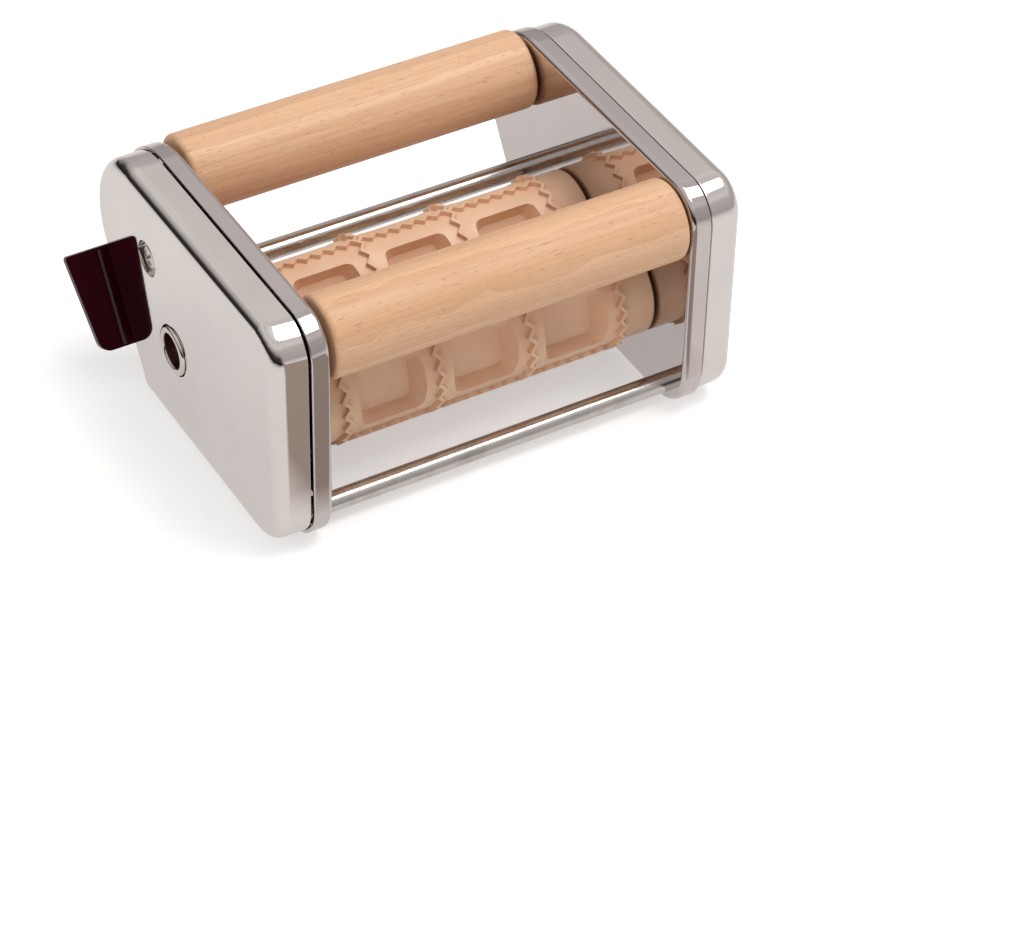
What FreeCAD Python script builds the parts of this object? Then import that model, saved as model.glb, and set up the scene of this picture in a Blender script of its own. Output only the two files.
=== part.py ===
import FreeCAD, Part
import math
import os
import re
import Sketcher

# Ravioli maker: two geared moulding rollers under two wood rollers, between chromed cheeks.
# X runs along the rollers, Y to the back and Z up. The origin is under the middle of the object.

DOC = FreeCAD.newDocument("RavioliMaker")
SHEET = DOC.addObject("Spreadsheet::Sheet", "Sizes")

SIZES = {
    # outline of the cheeks, seen from the end
    "overall_depth": 151.2,
    "overall_height": 102.9,
    "back_slant": 31.9,
    "front_top_radius": 15.0,
    "front_bottom_radius": 20.0,
    "back_top_radius": 35.0,
    "back_bottom_radius": 9.0,
    # cheeks: a side plate with a folded rim
    "inner_width": 150.0,
    "cheek_sheet": 1.5,
    "cheek_rim": 7.9,
    "cheek_bend": 2.2,
    # end covers: drawn pans, a little smaller than the cheeks
    "seam": 0.7,
    "cover_depth": 14.0,
    "cover_sheet": 1.2,
    "cover_edge_radius": 5.5,
    "step_front": 1.0,
    "step_top": 0.6,
    "step_bottom": 3.0,
    "step_back": 3.0,
    # wood rollers on fixed axles
    "wood_radius": 15.9,
    "wood_drop": 16.5,
    "wood_front_depth": 15.7,
    "wood_rear_depth": 125.8,
    "wood_gap_left": 2.4,
    "wood_gap_right": 0.8,
    "wood_round": 2.0,
    "wood_axle_radius": 3.0,
    "axle_head_radius": 4.6,
    "axle_head": 1.4,
    # moulding rollers: plain lands between the pockets, with zigzag ribs standing on them
    "land_radius": 19.4,
    "rib_height": 2.0,
    "rib_thickness": 1.3,
    "rib_swing": 1.3,
    "rib_root": 0.8,
    "nip": 0.3,
    "mould_front_height": 39.0,
    "mould_front_depth": 40.5,
    "mould_rise": 3.2,
    "mould_gap_left": 2.2,
    "mould_gap_right": 0.8,
    "mould_round": 1.0,
    "pocket_pitch": 39.1,
    "pocket_length": 27.8,
    "pocket_angle": 72.0,
    "pocket_floor_radius": 11.0,
    "pocket_floor_width": 16.0,
    "pocket_floor_length": 21.0,
    "pocket_corner": 3.0,
    "shaft_radius": 5.0,
    "running_clearance": 0.05,
    # bushes, gears and retaining rings
    "bush_radius": 8.0,
    "bush_flange_radius": 10.0,
    "bush_flange": 1.4,
    "gear_width": 7.0,
    "gear_gap": 0.4,
    "gear_backlash": 0.16,
    "key_width": 3.0,
    "key_low": 3.2,
    "key_high": 6.6,
    "ring_radius": 7.6,
    "ring_width": 1.0,
    "ring_slot": 4.0,
    "shaft_end": 1.5,
    # crank socket in the left cover
    "socket_radius": 9.8,
    "socket_proud": 1.3,
    "socket_bore": 7.0,
    "socket_bore_length": 6.5,
    "socket_floor": 1.6,
    "socket_clearance": 0.6,
    "socket_mouth_round": 0.5,
    "cross_pin_radius": 1.6,
    "cross_pin_set_in": 0.4,
    "cross_pin_ledge": 0.3,
    # screws that hold the covers, and their pillars
    "screw_depth": 103.2,
    "screw_height": 71.8,
    "screw_radius": 2.0,
    "screw_head_radius": 4.9,
    "screw_head": 2.6,
    "screw_crown": 1.6,
    "recess_radius": 7.2,
    "recess_drop": 3.0,
    "screw_length": 10.0,
    "screw_play": 0.2,
    "pillar_radius": 4.0,
    # tie rods between the cheeks
    "rod_radius": 4.0,
    "rod_screw_radius": 2.5,
    "rod_screw_head": 3.0,
    "rod_screw_crown": 1.2,
    "rod_screw_head_radius": 4.4,
    "rod_screw_length": 10.0,
    "front_rod_depth": 14.0,
    "rear_rod_depth": 88.0,
    "low_rod_height": 9.0,
    "back_rod_depth": 116.0,
    "back_rod_height": 46.0,
    # mounting tabs on the slanted back
    "tab_thickness": 3.0,
    "tab_top": 49.0,
    "tab_length": 39.5,
    "tab_reach_top": 15.0,
    "tab_reach_bottom": 10.8,
    "tab_corner": 5.0,
    "tab_overlap": 5.6,
    "tab_top_corner": 1.5,
    "tab_screw_radius": 1.5,
    "tab_screw_head_radius": 2.8,
    "tab_screw_head": 1.3,
}
GEAR_TEETH = 20
PRESSURE_ANGLE = 20
ADDENDUM = 0.95
DEDENDUM = 1.2
FLANK_POINTS = 5
POCKETS_ACROSS = 3
POCKETS_ROUND = 3
RIB_TEETH = 7  # zigzags of a rib along each side of a pocket
FIRST_POCKET = 76  # degrees from the top, as the photo shows the front roller
OVERRUN = 1  # how far a cut runs past the face it goes through
NEAR = 0.02  # how close two places must be to count as the same
LEAST_CHANGE = 0.01  # the volume in cubic mm that a cut or a pad must at least change

for row, (alias, number) in enumerate(SIZES.items(), start=1):
    SHEET.set("A%d" % row, alias)
    SHEET.set("B%d" % row, str(number))
    SHEET.setAlias("B%d" % row, alias)
DOC.recompute()


def bound(text):
    """Write the sheet's name before every size in an expression."""
    return re.sub(r"[a-z][a-z_]*", lambda word: "Sizes." + word[0] if word[0] in SIZES else word[0], text)


def value(text):
    """The number that an expression gives now."""
    return float(SHEET.evalExpression(bound(text)))


# Places that several pieces share, as expressions in the sheet's sizes
HALF_DEPTH = "overall_depth / 2"
CHEEK_X = "inner_width / 2"
RIM_X = "(inner_width / 2 + cheek_rim)"
SEAM_X = "(inner_width / 2 + cheek_rim + seam)"
COVER_X = "(inner_width / 2 + cheek_rim + seam + cover_depth)"
PLATE_X = "(inner_width / 2 + cheek_sheet)"
WOOD_FRONT_Y = "wood_front_depth - overall_depth / 2"
WOOD_REAR_Y = "wood_rear_depth - overall_depth / 2"
WOOD_Z = "(overall_height - wood_drop)"
MOULD_FRONT_Y = "mould_front_depth - overall_depth / 2"
AXIS_DISTANCE = "(2 * (land_radius + rib_height) + nip)"
MOULD_RUN = "sqrt(%s ^ 2 - mould_rise ^ 2)" % AXIS_DISTANCE
MOULD_REAR_Y = "mould_front_depth + %s - overall_depth / 2" % MOULD_RUN
MOULD_FRONT_Z = "mould_front_height"
MOULD_REAR_Z = "mould_front_height + mould_rise"
SCREW_Y = "screw_depth - overall_depth / 2"
GEAR_X = "(inner_width / 2 + cheek_sheet + bush_flange + gear_gap)"
GEAR_END_X = "(inner_width / 2 + cheek_sheet + bush_flange + gear_gap + gear_width)"
SOCKET_X = "(inner_width / 2 + cheek_rim + seam + cover_depth + socket_proud)"
SOCKET_END_X = "(inner_width / 2 + cheek_sheet + bush_flange + 2 * gear_gap + gear_width)"
DIMPLE_X = "(inner_width / 2 + cheek_rim + seam + cover_depth - recess_drop)"
TAB_X = "(inner_width / 2 + cheek_rim - tab_overlap)"
TAB_SCREW_X = "(inner_width / 2 + cheek_rim - tab_overlap / 2)"
TAB_SCREWS = ("tab_length / 5", "tab_length * 4 / 5")
TAB_LOW = "(tab_top - tab_length * cos(back_slant))"
BACK_CENTRE_Z = "(overall_height - back_top_radius)"
BACK_REACH = "(back_top_radius + (%s - %s) * sin(back_slant))" % (TAB_LOW, BACK_CENTRE_Z)
TAB_Y = "overall_depth / 2 - back_top_radius + %s / cos(back_slant)" % BACK_REACH
MOULD_AXES = {
    "front": (MOULD_FRONT_Y, MOULD_FRONT_Z),
    "rear": (MOULD_REAR_Y, MOULD_REAR_Z),
}
RODS = (
    ("front_rod_depth - overall_depth / 2", "low_rod_height"),
    ("rear_rod_depth - overall_depth / 2", "low_rod_height"),
    ("back_rod_depth - overall_depth / 2", "back_rod_height"),
)


def new_body(label, y="0", z="0"):
    body = DOC.addObject("PartDesign::Body", label)
    body.Label = label
    body.setExpression("Placement.Base.y", bound(y))
    body.setExpression("Placement.Base.z", bound(z))
    return body


def new_sketch(body, plane, offset="0"):
    """A sketch on one of the body's origin planes, moved along its normal."""
    sketch = body.newObject("Sketcher::SketchObject", body.Name + "_sketch")
    support = [item for item in body.Origin.OriginFeatures if item.Role == plane][0]
    sketch.AttachmentSupport = [(support, "")]
    sketch.MapMode = "FlatFace"
    sketch.setExpression("AttachmentOffset.Base.z", bound(offset))
    return sketch


def fix_point(sketch, geometry, point, u, v):
    """Tie one point of a sketch to two expressions."""
    for kind, axis, text in (("DistanceX", -2, u), ("DistanceY", -1, v)):
        if text == "0":
            sketch.addConstraint(Sketcher.Constraint("PointOnObject", geometry, point, axis))
        else:
            number = sketch.addConstraint(Sketcher.Constraint(kind, -1, 1, geometry, point, value(text)))
            sketch.setExpression("Constraints[%d]" % number, bound(text))


def slanted_sketch(body):
    """A sketch on the slanted back: x along the rollers, y up the slant, z into the object."""
    sketch = new_sketch(body, "XY_Plane")
    sketch.setExpression("AttachmentOffset.Base.y", bound(TAB_Y))
    sketch.setExpression("AttachmentOffset.Base.z", bound(TAB_LOW))
    place = FreeCAD.Vector(0, value(TAB_Y), value(TAB_LOW))
    lean = FreeCAD.Rotation(FreeCAD.Vector(1, 0, 0), 90 - value("back_slant"))
    sketch.AttachmentOffset = FreeCAD.Placement(place, lean)
    return sketch


def draw_polygon(sketch, corners):
    places = [FreeCAD.Vector(value(u), value(v), 0) for u, v in corners]
    first = sketch.GeometryCount
    count = len(corners)
    for i in range(count):
        sketch.addGeometry(Part.LineSegment(places[i], places[(i + 1) % count]))
    for i in range(count):
        following = first + (i + 1) % count
        sketch.addConstraint(Sketcher.Constraint("Coincident", first + i, 2, following, 1))
    for i, (u, v) in enumerate(corners):
        fix_point(sketch, first + i, 1, u, v)


def draw_circle(sketch, u, v, radius):
    centre = FreeCAD.Vector(value(u), value(v), 0)
    number = sketch.addGeometry(Part.Circle(centre, FreeCAD.Vector(0, 0, 1), value(radius)))
    fix_point(sketch, number, 3, u, v)
    radius_tie = sketch.addConstraint(Sketcher.Constraint("Radius", number, value(radius)))
    sketch.setExpression("Constraints[%d]" % radius_tie, bound(radius))


def extrude(body, kind, sketch, length, backwards=False):
    feature = body.newObject("PartDesign::" + kind, body.Name + "_" + kind.lower())
    feature.Profile = sketch
    feature.setExpression("Length", bound(length))
    feature.Reversed = backwards
    DOC.recompute()
    return feature


def add_rod(body, side, u, v, radius, near, far):
    """A round boss along X, from near to far, on one side of the middle."""
    sketch = new_sketch(body, "YZ_Plane", "%d * (%s)" % (side, near))
    draw_circle(sketch, u, v, radius)
    return extrude(body, "Pad", sketch, "(%s) - (%s)" % (far, near), side < 0)


def cut_hole(body, side, u, v, radius, near, far):
    """A round hole along X, from near to far, on one side of the middle."""
    before = body.Shape.Volume
    sketch = new_sketch(body, "YZ_Plane", "%d * (%s)" % (side, near))
    draw_circle(sketch, u, v, radius)
    feature = extrude(body, "Pocket", sketch, "(%s) - (%s)" % (far, near), side > 0)
    if body.Shape.Volume > before - LEAST_CHANGE:
        raise RuntimeError("a hole in %s cut nothing" % body.Label)
    return feature


def round_edges(body, choose, radius):
    """Fillet the edges of the body that the test picks."""
    base = body.Tip
    names = ["Edge%d" % (i + 1) for i, edge in enumerate(base.Shape.Edges) if choose(edge)]
    if not names:
        raise RuntimeError("no edge to round on " + body.Label)
    fillet = body.newObject("PartDesign::Fillet", body.Name + "_fillet")
    fillet.Base = (base, names)
    fillet.setExpression("Radius", bound(radius))
    DOC.recompute()
    return fillet


def draw_outline(sketch, steps, inset):
    """The end outline: four lines joined by arcs, set in from the cheeks' outline by the steps."""
    front, top, bottom, back = ["(%s + %s)" % (step, inset) for step in steps]
    radii = {
        "front_bottom": "front_bottom_radius - %s" % bottom,
        "back_bottom": "back_bottom_radius - %s" % bottom,
        "back_top": "back_top_radius - %s" % back,
        "front_top": "front_top_radius - %s" % top,
    }
    size = {corner: value(text) for corner, text in radii.items()}
    slant = math.radians(value("back_slant"))
    low = value(bottom)
    high = value("overall_height - " + top)
    near = value("%s - overall_depth / 2" % front)
    centre_y = value("overall_depth / 2 - back_top_radius")
    outward = FreeCAD.Vector(math.cos(slant), -math.sin(slant), 0)
    centres = {
        "front_bottom": FreeCAD.Vector(near + size["front_bottom"], low + size["front_bottom"], 0),
        "back_top": FreeCAD.Vector(centre_y, high - size["back_top"], 0),
        "front_top": FreeCAD.Vector(near + size["front_top"], high - size["front_top"], 0),
    }
    # the low back arc touches the slanted line, whose distance from the centre above is known
    drop = centres["back_top"].y - low - size["back_bottom"]
    shift = (size["back_top"] - size["back_bottom"] - drop * math.sin(slant)) / math.cos(slant)
    centres["back_bottom"] = FreeCAD.Vector(centre_y + shift, low + size["back_bottom"], 0)
    order = ("front_bottom", "back_bottom", "back_top", "front_top")
    turns = {
        "front_bottom": (180, 270),
        "back_bottom": (270, 360 - value("back_slant")),
        "back_top": (-value("back_slant"), 90),
        "front_top": (90, 180),
    }
    up = FreeCAD.Vector(0, 0, 1)
    arcs = {}
    ends = {}
    for corner in order:
        start, stop = [math.radians(angle) for angle in turns[corner]]
        circle = Part.Circle(centres[corner], up, size[corner])
        arcs[corner] = sketch.addGeometry(Part.ArcOfCircle(circle, start, stop))
        ends[corner] = [
            centres[corner] + FreeCAD.Vector(math.cos(angle), math.sin(angle), 0) * size[corner]
            for angle in (start, stop)
        ]
    lines = {}
    for corner, following in zip(order, order[1:] + order[:1]):
        lines[corner] = sketch.addGeometry(Part.LineSegment(ends[corner][1], ends[following][0]))
    for corner, following in zip(order, order[1:] + order[:1]):
        line = lines[corner]
        sketch.addConstraint(Sketcher.Constraint("Tangent", arcs[corner], 2, line, 1))
        sketch.addConstraint(Sketcher.Constraint("Tangent", line, 2, arcs[following], 1))
    sketch.addConstraint(Sketcher.Constraint("Horizontal", lines["front_bottom"]))
    sketch.addConstraint(Sketcher.Constraint("Horizontal", lines["back_top"]))
    sketch.addConstraint(Sketcher.Constraint("Vertical", lines["front_top"]))
    for corner, text in radii.items():
        number = sketch.addConstraint(Sketcher.Constraint("Radius", arcs[corner], size[corner]))
        sketch.setExpression("Constraints[%d]" % number, bound(text))
    ties = (
        ("DistanceY", lines["front_bottom"], 1, bottom),
        ("DistanceY", lines["back_top"], 1, "overall_height - " + top),
        ("DistanceX", lines["front_top"], 1, "%s - overall_depth / 2" % front),
        ("DistanceX", arcs["back_top"], 3, "overall_depth / 2 - back_top_radius"),
    )
    for kind, geometry, point, text in ties:
        if abs(value(text)) < 1e-9:
            sketch.addConstraint(Sketcher.Constraint("PointOnObject", geometry, point, -1))
        else:
            number = sketch.addConstraint(Sketcher.Constraint(kind, -1, 1, geometry, point, value(text)))
            sketch.setExpression("Constraints[%d]" % number, bound(text))
    lean = sketch.addConstraint(Sketcher.Constraint("Angle", lines["back_bottom"], math.pi / 2 - slant))
    sketch.setExpression("Constraints[%d]" % lean, "90 deg - 1 deg * " + bound("back_slant"))


def is_at(edge, place):
    """Whether an edge lies in the plane across X at this place."""
    return abs(edge.BoundBox.XMin - place) < NEAR and abs(edge.BoundBox.XMax - place) < NEAR


def pan(label, side, mouth, closed, sheet, steps, edge_radius):
    """A drawn pan: the end outline as a shell, open at the mouth, with a rounded closed end."""
    body = new_body(label)
    depth = "(%s) - (%s)" % (closed, mouth)
    outward = value(depth) > 0
    away = (side > 0) == outward
    length = depth if outward else "(%s) - (%s)" % (mouth, closed)
    for kind, inset in (("Pad", "0"), ("Pocket", sheet)):
        before = body.Shape.Volume if kind == "Pocket" else 0
        sketch = new_sketch(body, "YZ_Plane", "%d * (%s)" % (side, mouth))
        draw_outline(sketch, steps, inset)
        extrude(body, kind, sketch, "%s - %s" % (length, inset), away == (kind == "Pocket"))
        if kind == "Pocket" and body.Shape.Volume > before / 2:
            raise RuntimeError("the hollow of %s cut too little" % label)
    # the hollow's floor edge is rounded before the outer edge, so that the sheet is never cut through
    for inset, bend in ((sheet, edge_radius + " - " + sheet), ("0", edge_radius)):
        end = side * value(closed) - (1 if away else -1) * value(inset)
        round_edges(body, lambda edge: is_at(edge, end), bend)
    return body


def turned(label, profile, y, z):
    """A piece turned about its own X axis: profile holds (x, radius) corners."""
    body = new_body(label, y, z)
    sketch = new_sketch(body, "XZ_Plane")
    draw_polygon(sketch, profile)
    turn = body.newObject("PartDesign::Revolution", body.Name + "_turn")
    turn.Profile = sketch
    turn.ReferenceAxis = (sketch, ["H_Axis"])
    turn.Angle = 360
    DOC.recompute()
    return body


def tube(label, y, z, inner, outer, start, end):
    """A plain turned ring or rod between two places on X."""
    profile = [(start, inner), (end, inner), (end, outer), (start, outer)]
    return turned(label, profile, y, z)


# Cheeks, with the holes for what they carry

SIDES = {"left": -1, "right": 1}
COVER_STEPS = ("step_front", "step_top", "step_bottom", "step_back")


def make_cheek(name, side):
    body = pan(name + "_cheek", side, RIM_X, CHEEK_X, "cheek_sheet", ("0", "0", "0", "0"), "cheek_bend")
    near = "%s - %d" % (CHEEK_X, OVERRUN)
    far = "%s + %d" % (PLATE_X, OVERRUN)
    for y in (WOOD_FRONT_Y, WOOD_REAR_Y):
        cut_hole(body, side, y, WOOD_Z, "wood_axle_radius + running_clearance", near, far)
    for y, z in MOULD_AXES.values():
        cut_hole(body, side, y, z, "bush_radius", near, far)
    for y, z in RODS:
        cut_hole(body, side, y, z, "rod_screw_radius + running_clearance", near, far)
    sketch = slanted_sketch(body)
    for height in TAB_SCREWS:
        draw_circle(sketch, "%d * %s" % (side, TAB_SCREW_X), height, "tab_screw_radius")
    before = body.Shape.Volume
    extrude(body, "Pocket", sketch, "2 * cheek_sheet", True)
    if body.Shape.Volume > before - LEAST_CHANGE:
        raise RuntimeError("the tab's screw holes cut nothing")
    return body


def make_cover(name, side):
    body = pan(name + "_cover", side, SEAM_X, COVER_X, "cover_sheet", COVER_STEPS, "cover_edge_radius")
    inner = COVER_X + " - cover_sheet"
    floor = COVER_X + " - recess_drop - cover_sheet"
    outside = "%s + %d" % (COVER_X, OVERRUN)
    add_rod(body, side, SCREW_Y, "screw_height", "recess_radius + cover_sheet", floor, inner)
    cut_hole(body, side, SCREW_Y, "screw_height", "recess_radius", DIMPLE_X, outside)
    start = floor + " - %d" % OVERRUN
    cut_hole(body, side, SCREW_Y, "screw_height", "screw_radius + screw_play", start, outside)
    if side < 0:
        hole = "socket_radius + socket_clearance"
        cut_hole(body, side, MOULD_REAR_Y, MOULD_REAR_Z, hole, inner + " - %d" % OVERRUN, outside)
    return body


for name, side in SIDES.items():
    make_cheek(name, side)
    make_cover(name, side)

# Wood rollers, each on a fixed axle with a head at both ends

for name, y in (("front", WOOD_FRONT_Y), ("rear", WOOD_REAR_Y)):
    left_end = "wood_gap_left - inner_width / 2"
    right_end = "inner_width / 2 - wood_gap_right"
    bore = "wood_axle_radius + running_clearance"
    roller = tube(name + "_wood_roller", y, WOOD_Z, bore, "wood_radius", left_end, right_end)
    big = value("wood_radius")
    round_edges(roller, lambda edge: edge.BoundBox.ZLength > 2 * big - NEAR and edge.Closed, "wood_round")
    inner_head = PLATE_X
    outer_head = PLATE_X + " + axle_head"
    profile = [
        ("-1 * (%s)" % outer_head, "0"),
        (outer_head, "0"),
        (outer_head, "axle_head_radius"),
        (inner_head, "axle_head_radius"),
        (inner_head, "wood_axle_radius"),
        ("-1 * (%s)" % inner_head, "wood_axle_radius"),
        ("-1 * (%s)" % inner_head, "axle_head_radius"),
        ("-1 * (%s)" % outer_head, "axle_head_radius"),
    ]
    turned(name + "_roller_axle", profile, y, WOOD_Z)

# Moulding rollers: pockets with sloping walls, and zigzag ribs that cut between the squares


def draw_rounded(sketch, centre_u, half_u, half_v, corner):
    """A rounded rectangle, its middle at centre_u on the sketch's u axis."""
    middle, wide, tall, bend = [value(text) for text in (centre_u, half_u, half_v, corner)]
    corners = ((1, -1), (1, 1), (-1, 1), (-1, -1))
    arcs = []
    lines = []
    for number, (u, v) in enumerate(corners):
        place = FreeCAD.Vector(middle + u * (wide - bend), v * (tall - bend), 0)
        start = math.radians(90 * number - 90)
        circle = Part.Circle(place, FreeCAD.Vector(0, 0, 1), bend)
        arcs.append(sketch.addGeometry(Part.ArcOfCircle(circle, start, start + math.pi / 2)))
    for number in range(4):
        ahead = sketch.Geometry[arcs[(number + 1) % 4]]
        behind = sketch.Geometry[arcs[number]]
        lines.append(sketch.addGeometry(Part.LineSegment(behind.EndPoint, ahead.StartPoint)))
    for number in range(4):
        sketch.addConstraint(Sketcher.Constraint("Tangent", arcs[number], 2, lines[number], 1))
        sketch.addConstraint(Sketcher.Constraint("Tangent", lines[number], 2, arcs[(number + 1) % 4], 1))
        kind = "Vertical" if number % 2 == 0 else "Horizontal"
        sketch.addConstraint(Sketcher.Constraint(kind, lines[number]))
        radius = sketch.addConstraint(Sketcher.Constraint("Radius", arcs[number], bend))
        sketch.setExpression("Constraints[%d]" % radius, bound(corner))
    ties = (
        ("DistanceX", lines[0], "%s + %s" % (centre_u, half_u)),
        ("DistanceX", lines[2], "%s - (%s)" % (centre_u, half_u)),
        ("DistanceY", lines[1], half_v),
        ("DistanceY", lines[3], "-1 * (%s)" % half_v),
    )
    for kind, line, text in ties:
        number = sketch.addConstraint(Sketcher.Constraint(kind, -1, 1, line, 1, value(text)))
        sketch.setExpression("Constraints[%d]" % number, bound(text))


def repeat(body, feature, name, step, across, turns):
    """Copies of a feature along the body's X axis, and round it."""
    axis = [item for item in body.Origin.OriginFeatures if item.Role == "X_Axis"][0]
    pattern = body.newObject("PartDesign::MultiTransform", body.Name + name)
    pattern.Originals = [feature]
    row = body.newObject("PartDesign::LinearPattern", body.Name + name + "_row")
    row.Direction = (axis, [""])
    row.Occurrences = across
    row.setExpression("Length", bound("%s * %d" % (step, across - 1)))
    ring = body.newObject("PartDesign::PolarPattern", body.Name + name + "_ring")
    ring.Axis = (axis, [""])
    ring.Angle = 360
    ring.Occurrences = turns
    pattern.Transformations = [row, ring]
    body.Tip = pattern
    DOC.recompute()


def cut_pockets(body, middle):
    half_angle = "(pocket_angle / 2 * 1 deg)"
    lip = "land_radius * cos%s" % half_angle
    chord = "land_radius * sin%s" % half_angle
    start = "%s - pocket_pitch" % middle
    # the walls run straight on through the lip, to a level just outside the land
    top = "(land_radius + rib_root)"
    rise = "(%s - pocket_floor_radius)" % top
    lip_share = "(%s / (%s - pocket_floor_radius))" % (rise, lip)
    side_share = "(%s / (land_radius - pocket_floor_radius))" % rise
    half_length = "(pocket_floor_length + (pocket_length - pocket_floor_length) * %s) / 2" % side_share
    half_width = "pocket_floor_width / 2 + (%s - pocket_floor_width / 2) * %s" % (chord, lip_share)
    levels = (
        ("pocket_floor_radius", "pocket_floor_length / 2", "pocket_floor_width / 2"),
        (top, half_length, half_width),
    )
    sections = []
    for level, length, width in levels:
        sketch = new_sketch(body, "XY_Plane", level)
        draw_rounded(sketch, start, length, width, "pocket_corner")
        sections.append(sketch)
    before = body.Shape.Volume
    loft = body.newObject("PartDesign::SubtractiveLoft", body.Name + "_pocket")
    loft.Profile = sections[0]
    loft.Sections = [sections[1]]
    loft.Ruled = True
    DOC.recompute()
    if body.Shape.Volume > before - LEAST_CHANGE:
        raise RuntimeError("the pocket cut nothing")
    repeat(body, loft, "_pockets", "pocket_pitch", POCKETS_ACROSS, POCKETS_ROUND)


# the ribs' flat tops, whose corners reach the full rib height
RIB_TOP = "(land_radius + rib_height) * cos(180 deg / %d)" % (POCKETS_ROUND * RIB_TEETH)


def add_rib(body, name, side, corners, step, across, turns):
    """One zigzag of a rib, standing on the land above or below the axis, and its copies."""
    before = body.Shape.Volume
    sketch = new_sketch(body, "XY_Plane", "%d * (land_radius - rib_root)" % side)
    draw_polygon(sketch, corners)
    zigzag = extrude(body, "Pad", sketch, "%s - land_radius + rib_root" % RIB_TOP, side < 0)
    repeat(body, zigzag, name, step, across, turns)
    if body.Shape.Volume < before + LEAST_CHANGE:
        raise RuntimeError("a rib of %s added nothing" % body.Label)


def mould_roller(name, y, z, first_angle):
    """The roller body. first_angle turns its first pocket forward from the top."""
    left_end = "mould_gap_left - inner_width / 2"
    right_end = "inner_width / 2 - mould_gap_right"
    middle = "(mould_gap_left - mould_gap_right) / 2"
    body = tube(name + "_mould_roller", y, z, "shaft_radius", "land_radius", left_end, right_end)
    big = value("land_radius")
    round_edges(body, lambda edge: edge.BoundBox.ZLength > 2 * big - NEAR and edge.Closed, "mould_round")
    cut_pockets(body, middle)
    # a rib round the roller: its zigzags swing to and fro along X
    teeth = POCKETS_ROUND * RIB_TEETH
    reach = "(land_radius + rib_height) * sin(180 deg / %d)" % teeth
    half = "rib_thickness / 2 / cos(atan(2 * rib_swing / (%s)))" % reach
    at = "%s - pocket_pitch * %.1f" % (middle, POCKETS_ACROSS / 2)
    low = "%s - rib_swing" % at
    high = "%s + rib_swing" % at
    add_rib(body, "_round_ribs", 1, [
        ("%s - %s" % (low, half), "-1 * (%s)" % reach),
        ("%s + %s" % (low, half), "-1 * (%s)" % reach),
        ("%s + %s" % (high, half), "0"),
        ("%s + %s" % (low, half), reach),
        ("%s - %s" % (low, half), reach),
        ("%s - %s" % (high, half), "0"),
    ], "pocket_pitch", POCKETS_ACROSS + 1, teeth)
    # a rib along the roller, opposite a pocket and so halfway between the other two
    step = "(pocket_pitch / %d)" % RIB_TEETH
    half = "rib_thickness / 2 / cos(atan(4 * rib_swing / %s))" % step
    ends = [at, "%s + %s / 2" % (at, step), "%s + %s" % (at, step)]
    add_rib(body, "_long_ribs", -1, [
        (ends[0], "-1 * rib_swing - %s" % half),
        (ends[1], "rib_swing - %s" % half),
        (ends[2], "-1 * rib_swing - %s" % half),
        (ends[2], "-1 * rib_swing + %s" % half),
        (ends[1], "rib_swing + %s" % half),
        (ends[0], "-1 * rib_swing + %s" % half),
    ], step, POCKETS_ACROSS * RIB_TEETH, POCKETS_ROUND)
    turn = FreeCAD.Rotation(FreeCAD.Vector(1, 0, 0), first_angle)
    body.Placement = FreeCAD.Placement(body.Placement.Base, turn)
    body.setExpression("Placement.Base.y", bound(y))
    body.setExpression("Placement.Base.z", bound(z))
    DOC.recompute()
    return body


LEAN = math.asin(value("mould_rise") / value(AXIS_DISTANCE))
front_roller = mould_roller("front", MOULD_FRONT_Y, MOULD_FRONT_Z, FIRST_POCKET)

# Shafts: both carry a gear on a key, and the rear one ends in the crank socket


def cut_box(body, level, low, high, half_width, depth):
    """A slot cut upward from a level above the body's own axis."""
    before = body.Shape.Volume
    sketch = new_sketch(body, "XY_Plane", level)
    draw_polygon(sketch, [
        (low, "-1 * " + half_width),
        (high, "-1 * " + half_width),
        (high, half_width),
        (low, half_width),
    ])
    extrude(body, "Pocket", sketch, depth, True)
    if body.Shape.Volume > before - LEAST_CHANGE:
        raise RuntimeError("a slot in %s cut nothing" % body.Label)


RING_X = "(%s + bush_flange + gear_gap)" % PLATE_X
SHAFT_LEFT = {"front": GEAR_END_X + " + ring_width + shaft_end", "rear": SOCKET_END_X + " + socket_floor"}
SHAFT_RIGHT = RING_X + " + ring_width + shaft_end"
for name, (y, z) in MOULD_AXES.items():
    left_end = "-1 * (%s)" % SHAFT_LEFT[name]
    profile = [
        (left_end, "0"),
        (SHAFT_RIGHT, "0"),
        (SHAFT_RIGHT, "shaft_radius"),
        (left_end, "shaft_radius"),
    ]
    shaft = turned(name + "_mould_shaft", profile, y, z)
    cut_box(shaft, "key_low", "-1 * " + GEAR_END_X, "-1 * " + GEAR_X, "key_width / 2", "shaft_radius")

# Crank socket: a cup on the end of the rear shaft, with a wide mouth and a cross pin at its floor

PIN_X = "(%s - socket_bore_length - cross_pin_radius - cross_pin_ledge)" % SOCKET_X
mouth = "-1 * " + SOCKET_X
step = "-1 * (%s - socket_bore_length)" % SOCKET_X
floor = "-1 * (%s + socket_floor)" % SOCKET_END_X
inner = "-1 * " + SOCKET_END_X
socket = turned("crank_socket", [
    (mouth, "socket_bore"),
    (step, "socket_bore"),
    (step, "(shaft_radius + socket_bore) / 2"),
    (floor, "(shaft_radius + socket_bore) / 2"),
    (floor, "shaft_radius"),
    (inner, "shaft_radius"),
    (inner, "socket_radius"),
    (mouth, "socket_radius"),
], MOULD_REAR_Y, MOULD_REAR_Z)
round_edges(socket, lambda edge: is_at(edge, value(mouth)), "socket_mouth_round")
sketch = new_sketch(socket, "XY_Plane", "-1 * socket_radius - %d" % OVERRUN)
draw_circle(sketch, "-1 * " + PIN_X, "0", "cross_pin_radius")
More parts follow.
